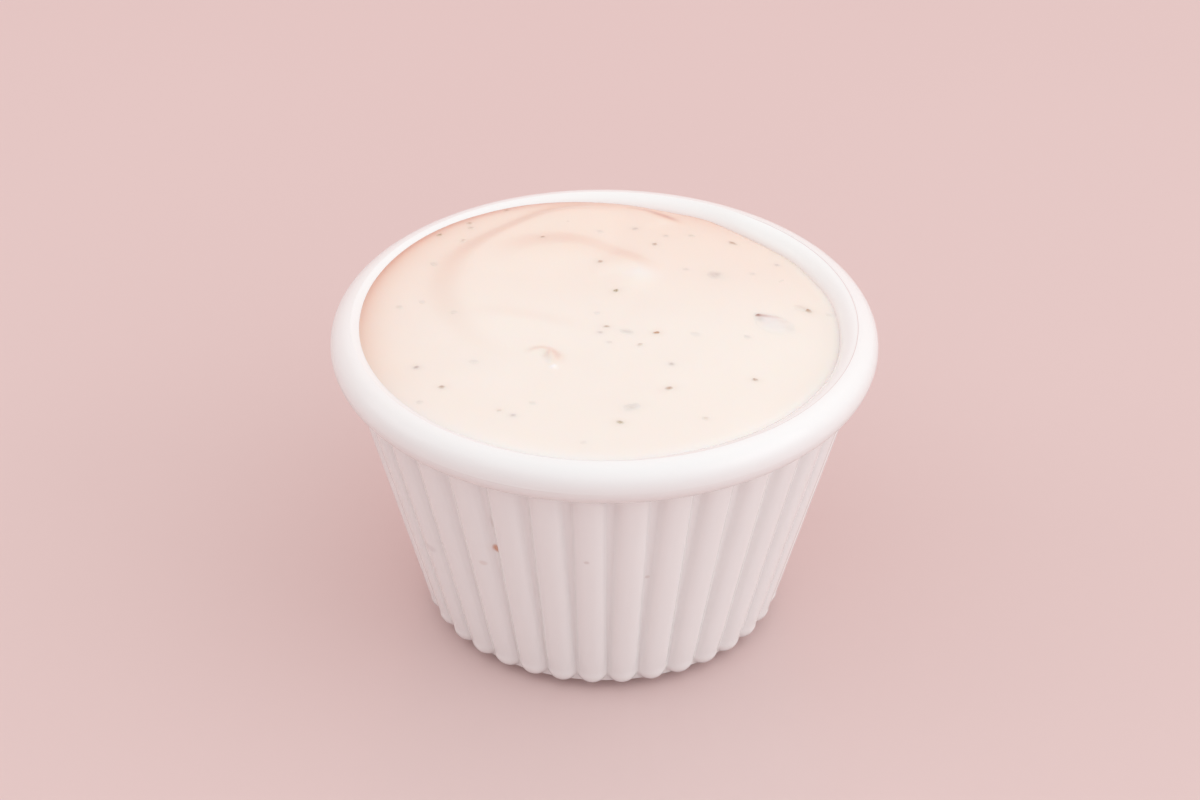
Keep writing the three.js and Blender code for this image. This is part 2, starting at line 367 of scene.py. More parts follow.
def surface(x, y):
    a = np.arctan2(y, x)
    r = np.hypot(x, y)
    h = edge_z(a)
    R = inner_r(h)
    shelf = table(a, SHELF, 1)
    L = table(a, SHELF, 2)
    rho = np.clip(r / R, 0, 1)
    z = MID + (shelf - MID) * rho ** 2.2
    for i, swirl in enumerate(SWIRLS):
        u, A, w = across(i, x, y)
        heart = smooth(np.hypot(x - swirl[0], y - swirl[1]) / (0.55 * swirl[5][0][1]))
        z = z + A * smooth((u + w) / (2 * w)) * np.exp(-np.maximum(u - w, 0) / swirl[2]) * heart * smooth((1 - rho) / (0.15 if i == 0 else 0.08))
    # soft unevenness of a spooned surface
    inner = smooth((1 - rho) / 0.10)
    z = z + inner * (0.05 * n1(x / 6.1 + 9, y / 6.1 + 4) + 0.008 * n2(x / 2.3 + 40, y / 2.3 + 7))
    # the soft peak, and a wet glint beside the lump
    d = np.hypot((x - 4.3) / 2.3, (y - 10.4) / 2.3)
    z = z + 0.30 * np.exp(-d ** 2.0)
    d = np.hypot((x + 6.45) / 0.4, (y + 12.35) / 0.45)
    z = z + 0.15 * np.exp(-d ** 2.0)
    # roll-off to the wall
    q = np.clip((r - (R - L)) / L, 0, 1)
    z = z + (h - shelf) * q ** 2.4
    return z


def surface_normal(x, y, e=0.15):
    zx = (surface(x + e, y) - surface(x - e, y)) / (2 * e)
    zy = (surface(x, y + e) - surface(x, y - e)) / (2 * e)
    n = np.stack([-zx, -zy, np.ones_like(zx)], -1)
    return n / np.linalg.norm(n, axis=-1, keepdims=True)


# painted shade and rosy reflection at the sauce's edge, how strong and how far in that reaches: (degrees, amount, mm)
EDGE_PAINTED_SHADE = [(0, 0.0, 0.45), (20, 0.0, 0.45), (38, 0.15, 0.7), (50, 0.55, 1.3), (60, 0.85, 1.9), (68, 0.95, 1.9), (77, 0.95, 1.2), (90, 1.0, 1.1), (120, 0.95, 1.1), (150, 0.85, 1.4), (165, 0.75, 2.0),
             (180, 0.6, 2.6), (195, 0.42, 2.6), (210, 0.2, 2.0), (225, 0.08, 1.5), (250, 0.0, 1.0), (295, 0.0, 1.0), (315, 0.0, 0.6), (335, 0.0, 0.5)]

# painted shade: the darker line right at the edge, at the back, where the sauce meets the wall: (degrees, amount, mm)
EDGE_PAINTED_SHADE_LINE = [(0, 0.0, 0.4), (62, 0.0, 0.4), (70, 0.55, 0.4), (78, 0.8, 0.45), (90, 0.95, 0.5), (102, 0.9, 0.6), (112, 0.75, 0.6), (130, 0.6, 0.6), (150, 0.5, 0.6),
             (172, 0.3, 0.7), (195, 0.1, 0.7), (210, 0.0, 0.7), (340, 0.0, 0.4)]

# ---------------------------------------------------------------- specks: (x, y, length, width, turn, kind, strength)
# kinds: pepper (dark brown), crust (brown-orange), herb (olive), sunk (grey, under the surface)
SPECKS = [
    (-8.62, 19.93, 0.8, 0.6, 20, "pepper", 0.65), (-0.70, 22.16, 0.9, 0.7, 0, "sunk", 0.17), (4.19, 23.74, 1.0, 0.8, 30, "sunk", 0.43),
    (6.88, 19.53, 1.0, 0.8, 70, "pepper", 0.53), (8.44, 22.11, 0.9, 0.7, 0, "sunk", 0.26), (12.01, 22.72, 1.0, 0.7, 0, "herb", 0.20),
    (17.72, 21.53, 1.35, 0.95, -30, "pepper", 0.52), (-0.64, 13.78, 1.0, 0.8, 0, "pepper", 0.54), (1.52, 6.56, 1.1, 0.8, 40, "herb", 0.73),
    (11.08, 13.08, 0.9, 0.7, 0, "sunk", 0.15), (15.02, 11.98, 2.3, 1.8, -15, "sunk", 0.35), (20.19, 13.10, 0.9, 0.7, 0, "sunk", 0.14),
    (23.68, 16.39, 0.9, 0.7, 0, "sunk", 0.38), (26.53, 4.98, 2.2, 1.15, -33, "crust", 0.15), (27.37, 4.49, 1.3, 1.1, -28, "crust", 0.70), (30.15, 4.17, 0.8, 0.7, 0, "sunk", 0.06),
    (18.88, -3.61, 0.9, 0.8, 0, "sunk", 0.13), (12.01, -3.70, 1.2, 1.0, 0, "sunk", 0.06), (6.86, -3.81, 1.0, 0.8, 10, "crust", 0.92),
    (4.67, -6.86, 1.0, 0.7, 30, "crust", 0.34), (0.25, -2.53, 1.0, 0.8, 0, "pepper", 0.44), (-0.54, -4.01, 0.9, 0.7, 0, "sunk", 0.38),
    (2.97, -3.74, 1.8, 1.0, -10, "sunk", 0.24), (0.63, -6.40, 0.8, 0.7, 0, "sunk", 0.17), (-1.01, 0.93, 0.8, 0.7, 0, "sunk", 0.07),
    (-24.44, 3.31, 0.9, 0.7, 0, "sunk", 0.08), (-27.34, 1.97, 1.0, 0.8, 0, "sunk", 0.12), (-24.33, -12.72, 1.0, 0.9, 0, "sunk", 0.70),
    (-20.81, -17.37, 1.1, 0.9, 20, "pepper", 0.53), (-23.44, -20.78, 0.9, 0.7, 0, "sunk", 0.10), (-13.24, -22.76, 0.8, 0.6, 0, "crust", 0.32),
    (-11.48, -23.86, 1.0, 0.8, 0, "sunk", 0.41), (-9.10, -20.95, 0.9, 0.7, 0, "sunk", 0.09), (8.79, -11.27, 1.0, 0.8, 0, "sunk", 0.45),
    (8.36, -17.02, 1.5, 0.8, 30, "pepper", 0.64), (19.55, -13.65, 1.0, 0.8, 0, "pepper", 0.60), (3.56, -21.55, 2.4, 1.3, 20, "sunk", 0.24),
    (2.05, -25.09, 1.2, 0.9, 0, "herb", 0.59), (12.95, -23.39, 1.0, 0.8, 0, "crust", 0.21), (-16.89, -11.43, 1.2, 1.0, 0, "sunk", 0.06),
    (-20.03, 0.50, 0.9, 0.7, 0, "sunk", 0.06), (-22.94, 21.29, 1.0, 0.8, 30, "herb", 0.54), (-19.57, 19.68, 1.0, 0.7, 0, "pepper", 0.23),
    (-18.90, 24.65, 1.0, 0.8, 0, "pepper", 0.38), (-18.67, 23.31, 0.9, 0.7, 0, "pepper", 0.35), (-13.84, 28.41, 1.0, 0.7, 0, "pepper", 0.44),
    (-23.35, 13.23, 1.0, 0.9, 0, "sunk", 0.12), (-2.50, -29.70, 0.8, 0.7, 0, "sunk", 0.06),
]


def sauce_tone_and_painted_light(x, y):
    """Painted light and shade on the sauce: painted shade and rosy reflection at the back, at the left, along the folds
    and at the edge; painted light, paler, at the front edge, on the soft peak and at the glint. Also a deeper cream at
    the left edge.
    """
    tint = np.ones(x.shape + (3,))
    # painted shade and rosy reflection: darker and rosier towards the back and towards the left
    tint *= 1 - (smooth((y + 6) / 36)[:, None] * np.array([0.0, 0.085, 0.125]))
    tint *= 1 - (smooth((-x - 12) / 22)[:, None] * np.array([0.02, 0.055, 0.065]))
    # painted shade and rosy reflection along the folds
    for i, swirl in enumerate(SWIRLS):
        u, A, w = across(i, x, y)
        m = A * swirl[3] * np.exp(-(u / (0.9 * w * np.where(u > 0, swirl[4], 1.0))) ** 2) / 0.6
        tint *= 1 - np.minimum(m, 3.4)[:, None] * np.array([0.03, 0.10, 0.13]) - np.clip(m - 1, 0, 2.4)[:, None] * np.array([0.05, 0.04, 0.01])
    ang = np.arctan2(y, x)
    dw = np.maximum(inner_r(edge_z(ang)) - np.hypot(x, y), 0)
    # painted shade and rosy reflection near the edge
    m = table(ang, EDGE_PAINTED_SHADE, 1) * np.exp(-dw / table(ang, EDGE_PAINTED_SHADE, 2))
    tint *= 1 - m[:, None] * np.array([0.07, 0.30, 0.36])
    # painted shade: a darker line where the sauce meets the wall
    m = table(ang, EDGE_PAINTED_SHADE_LINE, 1) * np.exp(-np.maximum(dw - 0.4, 0) / table(ang, EDGE_PAINTED_SHADE_LINE, 2))
    tint *= 1 - m[:, None] * np.array([0.19, 0.45, 0.50])
    # a deeper cream at the left edge
    m = smooth((np.cos(ang - 175 * DEG) - 0.7) / 0.25) * np.exp(-(dw / 3.0) ** 1.2)
    tint *= 1 - m[:, None] * np.array([0.008, 0.045, 0.085])
    # on the right: painted shade, a faint darker line right where the sauce meets the wall, and a paler band about a
    # millimetre wide beside it
    m = smooth((np.cos(ang + 8 * DEG) - 0.72) / 0.2) * smooth((0.5 - dw) / 0.25)
    tint *= 1 - m[:, None] * np.array([0.0, 0.02, 0.0])
    m = smooth((np.cos(ang + 8 * DEG) - 0.62) / 0.3) * np.exp(-(dw / 1.1) ** 2)
    tint *= 1 + m[:, None] * np.array([0.045, 0.075, 0.09])
    # painted highlight: the soft peak and a wet glint on the lump's ridge are painted whiter
    m = np.exp(-(((x - 4.6) / 2.4) ** 2 + ((y - 11.4) / 1.9) ** 2))
    tint *= 1 + m[:, None] * np.array([-0.004, 0.06, 0.11])
    m = np.exp(-(((x + 6.55) / 0.40) ** 2 + ((y + 12.3) / 0.42) ** 2))
    tint *= 1 + m[:, None] * np.array([0.06, 0.15, 0.24])
    # painted light: the front edge is painted paler
    m = np.clip(-np.sin(ang) * 1.4 - 0.4, 0, 1) * np.exp(-(dw / 1.3) ** 1.5)
    tint *= 1 + m[:, None] * np.array([0.005, 0.035, 0.075])
    return tint


def build_mayo():
    DR = 0.222
    r_mid = 33.0
    n_r = int(round(r_mid / DR))
    rings, counts = [], []
    for i in range(1, n_r + 1):
        f = i / n_r
        r = r_mid * f
        cnt = 90 if r < 4.2 else 180 if r < 8.4 else 360 if r < 16.8 else 720
        a = np.arange(cnt) * 2 * np.pi / cnt
        h = edge_z(a)
        R = inner_r(h) + 0.02
        # radii follow the edge near it and are plain circles inside
        rr = r + (R - r_mid) * smooth((f - 0.55) / 0.45) * f
        x, y = rr * np.cos(a), rr * np.sin(a)
        rings.append(np.stack([x, y, surface(x, y)], -1))
        counts.append(cnt)
    # the surface carries on a little way inside the wall, then goes down and across the hidden bottom
    a = np.arange(720) * 2 * np.pi / 720
    h = edge_z(a)
    rings.append(np.stack([(inner_r(h) + 0.15) * np.cos(a), (inner_r(h) + 0.15) * np.sin(a), h - 0.03], -1))
    counts.append(720)
    zb = np.minimum(h, WALL_T_Z)
    for k, (t, cnt) in enumerate([(0.5, 720), (1.0, 720)]):
        z = lerp(h, np.minimum(h, WALL_T_Z) - 0.4, t) - 0.2
        R = inner_r(z) + 0.13
        rings.append(np.stack([R * np.cos(a), R * np.sin(a), z], -1))
        counts.append(720)
    for z, cnt in [(36.0, 720), (24.0, 360), (12.0, 360), (7.3, 360)]:
        b = np.arange(cnt) * 2 * np.pi / cnt
        R = WALL_T_R - WALL_SLOPE * (WALL_T_Z - z) + 0.13
        rings.append(np.stack([R * np.cos(b), R * np.sin(b), np.full(cnt, z)], -1))
        counts.append(cnt)
    for r, z, cnt in [(21.6, 5.3, 360), (20.4, 4.45, 180), (19.3, 4.15, 180), (9.0, 4.15, 90)]:
        b = np.arange(cnt) * 2 * np.pi / cnt
        rings.append(np.stack([r * np.cos(b), r * np.sin(b), np.full(cnt, z)], -1))
        counts.append(cnt)
    verts = [np.array([[0, 0, float(surface(np.array(0.0), np.array(0.0)))]])] + rings + [np.array([[0, 0, 4.15]])]
    start = np.r_[1, 1 + np.cumsum(counts)]
    faces = []
    c = np.arange(counts[0])
    faces += np.stack([np.zeros_like(c), 1 + c, 1 + (c + 1) % counts[0]], -1).tolist()
    for i in range(len(counts) - 1):
        a0, b0, na, nb = start[i], start[i + 1], counts[i], counts[i + 1]
        if na == nb:
            c = np.arange(na)
            c2 = (c + 1) % na
            faces += np.stack([a0 + c, b0 + c, b0 + c2, a0 + c2], -1).tolist()
        elif nb == 2 * na:
            c = np.arange(na)
            c2 = (c + 1) % na
            faces += np.stack([a0 + c, b0 + 2 * c, b0 + 2 * c + 1], -1).tolist()
            faces += np.stack([a0 + c, b0 + 2 * c + 1, a0 + c2], -1).tolist()
            faces += np.stack([a0 + c2, b0 + 2 * c + 1, b0 + (2 * c + 2) % nb], -1).tolist()
        else:
            c = np.arange(nb)
            c2 = (c + 1) % nb
            faces += np.stack([b0 + c, a0 + 2 * c + 1, a0 + 2 * c], -1).tolist()
            faces += np.stack([b0 + c, b0 + c2, a0 + 2 * c + 1], -1).tolist()
            faces += np.stack([b0 + c2, a0 + (2 * c + 2) % na, a0 + 2 * c + 1], -1).tolist()
    last = start[len(counts) - 1]
    c = np.arange(counts[-1])
    end = start[-1]
    faces += np.stack([np.full_like(c, end), last + (c + 1) % counts[-1], last + c], -1).tolist()
    V = np.concatenate(verts)
    # the sauce's painted light and shade, and soft halos round the specks
    x, y, z = V.T
    top = (z > 40.0).astype(float)
    tint = sauce_tone_and_painted_light(x, y)
    for sx, sy, sl, sw, turn, kind, s in SPECKS:
        ca, sa = math.cos(turn * DEG), math.sin(turn * DEG)
        u = ((x - sx) * ca + (y - sy) * sa) / (sl * 0.5)
        v = (-(x - sx) * sa + (y - sy) * ca) / (sw * 0.5)
        d2 = u * u + v * v
        if kind == "sunk":
            m = s * 0.22 * np.exp(-d2 * 0.4)
            col = np.array([0.62, 0.55, 0.53])
        else:
            m = s * 0.20 * np.exp(-d2 * 0.32)
            col = np.array([0.74, 0.54, 0.40])
        tint = tint * (1 - m[:, None]) + col * m[:, None]
    tint = 1 - (1 - tint) * top[:, None]
    ob = make_mesh("mayonnaise_body", V, faces, {"tint": tint})
    tri = sum(len(f) - 2 for f in faces)
    print("mayonnaise tris", tri, "top", z.max())
    return ob


mayo = build_mayo()


# ---------------------------------------------------------------- flakes
def ico(level):
    t = (1 + 5 ** 0.5) / 2
    v = [(-1, t, 0), (1, t, 0), (-1, -t, 0), (1, -t, 0), (0, -1, t), (0, 1, t), (0, -1, -t), (0, 1, -t), (t, 0, -1), (t, 0, 1), (-t, 0, -1), (-t, 0, 1)]
    f = [(0, 11, 5), (0, 5, 1), (0, 1, 7), (0, 7, 10), (0, 10, 11), (1, 5, 9), (5, 11, 4), (11, 10, 2), (10, 7, 6), (7, 1, 8),
         (3, 9, 4), (3, 4, 2), (3, 2, 6), (3, 6, 8), (3, 8, 9), (4, 9, 5), (2, 4, 11), (6, 2, 10), (8, 6, 7), (9, 8, 1)]
    v = [np.array(p, float) / np.linalg.norm(p) for p in v]
    for _ in range(level):
        cache, g = {}, []

        def mid(a, b):
            key = (min(a, b), max(a, b))
            if key not in cache:
                m = v[a] + v[b]
                v.append(m / np.linalg.norm(m))
                cache[key] = len(v) - 1
            return cache[key]
        for a, b, c in f:
            ab, bc, ca = mid(a, b), mid(b, c), mid(c, a)
            g += [(a, ab, ca), (b, bc, ab), (c, ca, bc), (ab, bc, ca)]
        f = g
    return np.array(v), np.array(f)


ICO_V, ICO_F = ico(3)


def flake(x, y, length, width, turn, thick, rise, seed, rough=0.22):
    """An uneven crumb set in the surface at x, y, its low top just proud of it. Returns its points and how far each is
    from its middle, 0 to 1."""
    r = np.random.default_rng(seed)
    v = ICO_V
    down = np.arccos(np.clip(v[:, 2], -1, 1)) / math.pi
    a = np.arctan2(v[:, 1], v[:, 0])
    # the top runs out to just under the surface, so no side wall shows; the rest of the crumb is below it
    f = down / 0.62
    e = np.where(f <= 1, f, (1 - down) / 0.38)
    out = np.ones(len(v))
    for k in (2, 3, 4, 5):
        out += rough * r.uniform(-1, 1) / (k - 0.6) * np.cos(k * a + r.uniform(0, 6.28))
    lump = 1 + 0.25 * np.sin(e * np.cos(a) * r.uniform(2, 4) + r.uniform(0, 6)) * np.cos(e * np.sin(a) * r.uniform(2, 4) + r.uniform(0, 6))
    h = np.where(f <= 1, 0.015 + rise * (1 - e ** 2) ** 1.3 * lump - 0.045 * e ** 6, -0.03 - thick * (1 - e))
    px, py = e * np.cos(a) * out * length * 0.6, e * np.sin(a) * out * width * 0.6
    ca, sa = math.cos(turn * DEG), math.sin(turn * DEG)
    X, Y = x + px * ca - py * sa, y + px * sa + py * ca
    return np.stack([X, Y, surface(X, Y) + h], -1), np.where(f <= 1, e, 1.0)


# the mayonnaise's own colour, which crumbs fade to at their edges
SAUCE = np.array([0.914, 0.856, 0.792])


def build_kind(name, kind, pal, thick, rise, power):
    P, F, C = [], [], []
    off = 0
    for i, (x, y, l, w, turn, k, s) in enumerate(SPECKS):
        if k != kind:
            continue
        p, e = flake(x, y, l, w, turn, thick, rise, 100 + i)
        nz = np.random.default_rng(500 + i)
        base = np.array(pal[nz.integers(len(pal))])
        wob = 1 + 0.2 * np.sin(ICO_V @ nz.normal(size=3) * 4 + nz.uniform(0, 6))
        m = (s * (1 - smooth((e - 0.12) / 0.80)) ** power * wob)[:, None]
        P.append(p)
        F.append(ICO_F + off)
        # the crumbs carry the same painted light and shade as the sauce round them
        here = sauce_tone_and_painted_light(p[:, 0], p[:, 1])
        C.append(np.clip((SAUCE * (1 - m) + base * m) * here, 0.02, 1))
        off += len(p)
    ob = make_mesh(name, np.concatenate(P), np.concatenate(F).tolist(), {"tint": np.concatenate(C)})
    return ob


pepper = build_kind("pepper_flakes", "pepper", [(0.35, 0.165, 0.065), (0.38, 0.18, 0.075), (0.40, 0.185, 0.08)], 0.34, 0.06, 0.8)
crust = build_kind("browned_garlic_bits", "crust", [(0.44, 0.19, 0.05), (0.40, 0.18, 0.05)], 0.34, 0.06, 0.8)
herb = build_kind("herb_flakes", "herb", [(0.32, 0.22, 0.06), (0.30, 0.21, 0.06)], 0.30, 0.05, 0.8)
sunk = build_kind("sunken_flakes", "sunk", [(0.50, 0.38, 0.35), (0.48, 0.37, 0.35)], 0.26, 0.02, 1.0)


def build_garlic():
    """A soft sliver of garlic lying flat in the surface, browned at its left end, with painted shade along its far edge
    and beside its left end.
    """
    outline = np.array([(20.15, 1.95), (21.0, 2.2), (21.9, 2.2), (23.2, 1.85), (24.1, 1.15), (25.0, 0.0), (25.45, -1.1), (24.7, -1.95), (23.3, -2.3),
                        (21.7, -2.15), (20.7, -1.3), (20.15, 0.2)])
    mid = outline.mean(0)
    d = outline - mid
    oa, orad = np.arctan2(d[:, 1], d[:, 0]), np.hypot(d[:, 0], d[:, 1])
    k = np.argsort(oa)
    oa, orad = oa[k], orad[k]
    n = 180
    g = np.linspace(-np.pi, np.pi, n, endpoint=False)
    out = np.interp(g, np.r_[oa[-1] - 2 * np.pi, oa, oa[0] + 2 * np.pi], np.r_[orad[-1], orad, orad[0]])
    kern = np.exp(-0.5 * (np.arange(-8, 9) / 2.5) ** 2)
    out = np.convolve(np.r_[out[-8:], out, out[:8]], kern / kern.sum(), "valid")
    wob = np.random.default_rng(9)
    out = out * (1 + 0.015 * np.sin(g * 9 + 1) + 0.012 * np.sin(g * 14 + 2))
    P, C = [], []
    fr = [0.0, 0.1, 0.2, 0.3, 0.4, 0.5, 0.6, 0.7, 0.8, 0.87, 0.93, 0.97, 1.0, 1.15, 0.8, 0.4]
    for i, f in enumerate(fr):
        X, Y = mid[0] + f * out * np.cos(g), mid[1] + f * out * np.sin(g)
        if i <= 12:
            h = 0.006 + 0.075 * (1 - f ** 2) ** 1.5 * (1 + 0.3 * np.sin(X * 2.3) * np.cos(Y * 2.9)) + 0.04 * np.exp(-((X - 20.6) ** 2 + (Y - 1.7) ** 2) / 0.15)
        else:
            h = np.full(n, {13: -0.03, 14: -0.5, 15: -0.7}[i])
        P.append(np.stack([X, Y + 0.4, surface(X, Y + 0.4) + h], -1))
        # a pale, faintly blue body that fades into the sauce all round
        body = smooth((1.0 - f) / 0.6) * (1 - 0.3 * smooth((-Y - 0.4 - 0.15 * (X - 22.5)) / 1.8)) * (1 - 0.5 * smooth((X - 22.3) / 2.6))
        col = lerp(SAUCE, np.array([0.854, 0.814, 0.786]), body[:, None])
        # painted shade along the far edge (first two spots) and beside the left end (fourth); the third is the browned
        # tip, the last two faint browner patches
        for cx, cy, rx, ry, amount, c3 in [(22.5, 1.55, 1.5, 0.34, 0.42, (0.70, 0.52, 0.48)), (21.15, 1.62, 0.85, 0.32, 0.65, (0.58, 0.36, 0.33)),
                                           (20.48, 1.62, 0.42, 0.34, 0.9, (0.30, 0.12, 0.08)), (20.75, 0.75, 0.5, 0.75, 0.40, (0.55, 0.50, 0.48)),
                                           (24.7, -0.9, 0.8, 0.9, 0.22, (0.68, 0.60, 0.53)), (23.9, 0.6, 0.9, 0.5, 0.25, (0.74, 0.62, 0.55))]:
            m = amount * np.exp(-(((X - cx) / rx) ** 2 + ((Y - cy) / ry) ** 2)) * smooth((1.001 - f) / 0.06)
            col = lerp(col, np.array(c3), m[:, None])
        C.append(col)
    V = np.concatenate(P)
    c = np.arange(n)
    F = []
    for i in range(len(fr) - 1):
        a0, b0 = i * n, (i + 1) * n
        F += np.stack([a0 + c, b0 + c, b0 + (c + 1) % n, a0 + (c + 1) % n], -1).tolist()
    last = (len(fr) - 1) * n
    F.append([last + int(q) for q in c][::-1])
    return make_mesh("garlic_piece", V, F, {"tint": np.clip(np.concatenate(C), 0, 1)})


garlic = build_garlic()

# ---------------------------------------------------------------- materials


def new_mat(name):
    m = bpy.data.materials.new(name)
    m.use_nodes = True
    nt = m.node_tree
    nt.nodes.clear()
    out = nt.nodes.new("ShaderNodeOutputMaterial")
    bsdf = nt.nodes.new("ShaderNodeBsdfPrincipled")
    nt.links.new(bsdf.outputs["BSDF"], out.inputs["Surface"])
    return m, nt, bsdf


def node(nt, kind, **props):
    n = nt.nodes.new(kind)
    for k, v in props.items():
        setattr(n, k, v)
    return n


def noise(nt, coord, scale, detail=3.0, rough=0.5):
    n = node(nt, "ShaderNodeTexNoise")
    n.inputs["Scale"].default_value = scale
    n.inputs["Detail"].default_value = detail
    n.inputs["Roughness"].default_value = rough
    nt.links.new(coord, n.inputs["Vector"])
    return n.outputs["Fac"]


def maprange(nt, val, a, b, c, d, interp="LINEAR"):
    n = node(nt, "ShaderNodeMapRange", interpolation_type=interp)
    nt.links.new(val, n.inputs["Value"])
    for k, v in zip(("From Min", "From Max", "To Min", "To Max"), (a, b, c, d)):
        n.inputs[k].default_value = v
    return n.outputs["Result"]


def mix_color(nt, fac, a, b, blend="MIX"):
    n = node(nt, "ShaderNodeMix", data_type="RGBA", blend_type=blend)
    for sock, v in ((n.inputs[0], fac), (n.inputs[6], a), (n.inputs[7], b)):
        if isinstance(v, (int, float)):
            sock.default_value = v
        elif isinstance(v, tuple):
            sock.default_value = (*v, 1.0)
        else:
            nt.links.new(v, sock)
    return n.outputs[2]


def math_node(nt, op, a, b=None):
    n = node(nt, "ShaderNodeMath", operation=op)
    for i, v in enumerate((a, b)):
        if v is None:
            continue
        if isinstance(v, (int, float)):
            n.inputs[i].default_value = v
        else:
            nt.links.new(v, n.inputs[i])
    return n.outputs[0]


def bump_node(nt, height, strength, dist):
    n = node(nt, "ShaderNodeBump")
    n.inputs["Strength"].default_value = strength
    n.inputs["Distance"].default_value = dist
    nt.links.new(height, n.inputs["Height"])
    return n.outputs["Normal"]


def spot(nt, coord, centre, size, lo=0.4, hi=1.0):
    """1 inside an ellipsoid about centre (metres), fading to 0 outside."""
    mp = node(nt, "ShaderNodeMapping", vector_type="POINT")
    mp.inputs["Location"].default_value = [-c / s for c, s in zip(centre, size)]
    mp.inputs["Scale"].default_value = [1 / s for s in size]
    nt.links.new(coord, mp.inputs["Vector"])
    ln = node(nt, "ShaderNodeVectorMath", operation="LENGTH")
    nt.links.new(mp.outputs["Vector"], ln.inputs[0])
    return maprange(nt, ln.outputs["Value"], lo, hi, 1.0, 0.0, "SMOOTHSTEP")


def wall_point(th, z):
    """The point of the fluted wall at an angle and a height."""
    r = float(rib_radius(z)[int(np.argmin(np.abs((th_deg - th + 180) % 360 - 180)))])
    return (r * math.cos(th * DEG) * MM, r * math.sin(th * DEG) * MM, z * MM)


def melamine():
    m, nt, b = new_mat("white_melamine")
    tc = node(nt, "ShaderNodeTexCoord")
    co = tc.outputs["Object"]
    slow = noise(nt, co, 60.0, 2.0)
    fine = noise(nt, co, 900.0, 2.0)
    col = mix_color(nt, slow, (0.888, 0.882, 0.876), (0.918, 0.912, 0.907))
    # marks on the outside: one orange-brown crumb stain, a fainter one, a grey smudge, a hairline, two tiny marks
    for th, z, size, c, amount in [
        (-117.85, 25.1, (0.85, 0.85, 1.0), (0.62, 0.24, 0.10), 0.78),
        (-121.63, 22.29, (0.8, 0.8, 0.6), (0.66, 0.50, 0.44), 0.28),
        (-142.43, 19.05, (1.3, 1.3, 0.9), (0.55, 0.50, 0.50), 0.25),
        (-117.6, 30.1, (0.45, 0.45, 4.2), (0.45, 0.33, 0.30), 0.22),
        (-93.86, 26.48, (0.5, 0.5, 0.4), (0.55, 0.42, 0.38), 0.30),
        (-78.40, 22.21, (0.5, 0.5, 0.4), (0.55, 0.42, 0.38), 0.30),
    ]:
        k = spot(nt, co, wall_point(th, z), tuple(s * MM for s in size), 0.35, 1.0)
        k = math_node(nt, "MULTIPLY", k, amount)
        col = mix_color(nt, k, col, c)
    att = node(nt, "ShaderNodeAttribute", attribute_name="tint")
    col = mix_color(nt, 1.0, col, att.outputs["Color"], "MULTIPLY")
    nt.links.new(col, b.inputs["Base Color"])
    nt.links.new(maprange(nt, slow, 0.0, 1.0, 0.15, 0.26), b.inputs["Roughness"])
    b.inputs["IOR"].default_value = 1.5
    b.inputs["Subsurface Weight"].default_value = 0.06
    b.inputs["Subsurface Radius"].default_value = (1.0, 0.9, 0.85)
    b.inputs["Subsurface Scale"].default_value = 0.0012
    nt.links.new(bump_node(nt, math_node(nt, "ADD", slow, math_node(nt, "MULTIPLY", fine, 0.15)), 0.12, 0.0002), b.inputs["Normal"])
    return m


def mayonnaise():
    m, nt, b = new_mat("mayonnaise")
    tc = node(nt, "ShaderNodeTexCoord")
    co = tc.outputs["Object"]
    slow = noise(nt, co, 110.0, 2.0)
    mid = noise(nt, co, 420.0, 1.0)
    col = mix_color(nt, slow, (0.900, 0.842, 0.776), (0.920, 0.862, 0.798))
    att = node(nt, "ShaderNodeAttribute", attribute_name="tint")
    col = mix_color(nt, 1.0, col, att.outputs["Color"], "MULTIPLY")
    nt.links.new(col, b.inputs["Base Color"])
    nt.links.new(maprange(nt, slow, 0.0, 1.0, 0.25, 0.36), b.inputs["Roughness"])
    b.inputs["IOR"].default_value = 1.46
    b.inputs["Subsurface Weight"].default_value = 0.2
    b.inputs["Subsurface Radius"].default_value = (1.0, 0.66, 0.48)
    b.inputs["Subsurface Scale"].default_value = 0.0010
    nt.links.new(bump_node(nt, mid, 0.05, 0.0002), b.inputs["Normal"])
    return m


def flake_mat(name, rough, sss=0.0, ior=1.45, bump=0.3, mottle=0.4):
    m, nt, b = new_mat(name)
    tc = node(nt, "ShaderNodeTexCoord")
    co = tc.outputs["Object"]
    v = noise(nt, co, 2600.0, 3.0)
    att = node(nt, "ShaderNodeAttribute", attribute_name="tint")
    col = mix_color(nt, maprange(nt, v, 0.0, 1.0, 0.0, mottle), att.outputs["Color"], (0.95, 0.93, 0.91), "MULTIPLY")
    nt.links.new(col, b.inputs["Base Color"])
    nt.links.new(maprange(nt, v, 0.0, 1.0, rough - 0.08, rough + 0.10), b.inputs["Roughness"])
    b.inputs["IOR"].default_value = ior
    if sss:
        b.inputs["Subsurface Weight"].default_value = sss
        b.inputs["Subsurface Radius"].default_value = (1.0, 0.66, 0.48)
        b.inputs["Subsurface Scale"].default_value = 0.0010
    nt.links.new(bump_node(nt, v, bump, 0.00005), b.inputs["Normal"])
    return m


def use(ob, mat):
    ob.data.materials.clear()
    ob.data.materials.append(mat)
    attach(ob, "root")


use(ramekin, melamine())
use(mayo, mayonnaise())
use(pepper, flake_mat("pepper", 0.42, 0.1))
use(crust, flake_mat("browned_bits", 0.4, 0.1))
use(herb, flake_mat("herb", 0.42, 0.1))
use(sunk, flake_mat("sunken_flake", 0.3, 0.2))
use(garlic, flake_mat("garlic", 0.30, 0.2, 1.45, 0.06, 0.12))
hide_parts("ramekin")
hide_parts("garlic_mayonnaise")


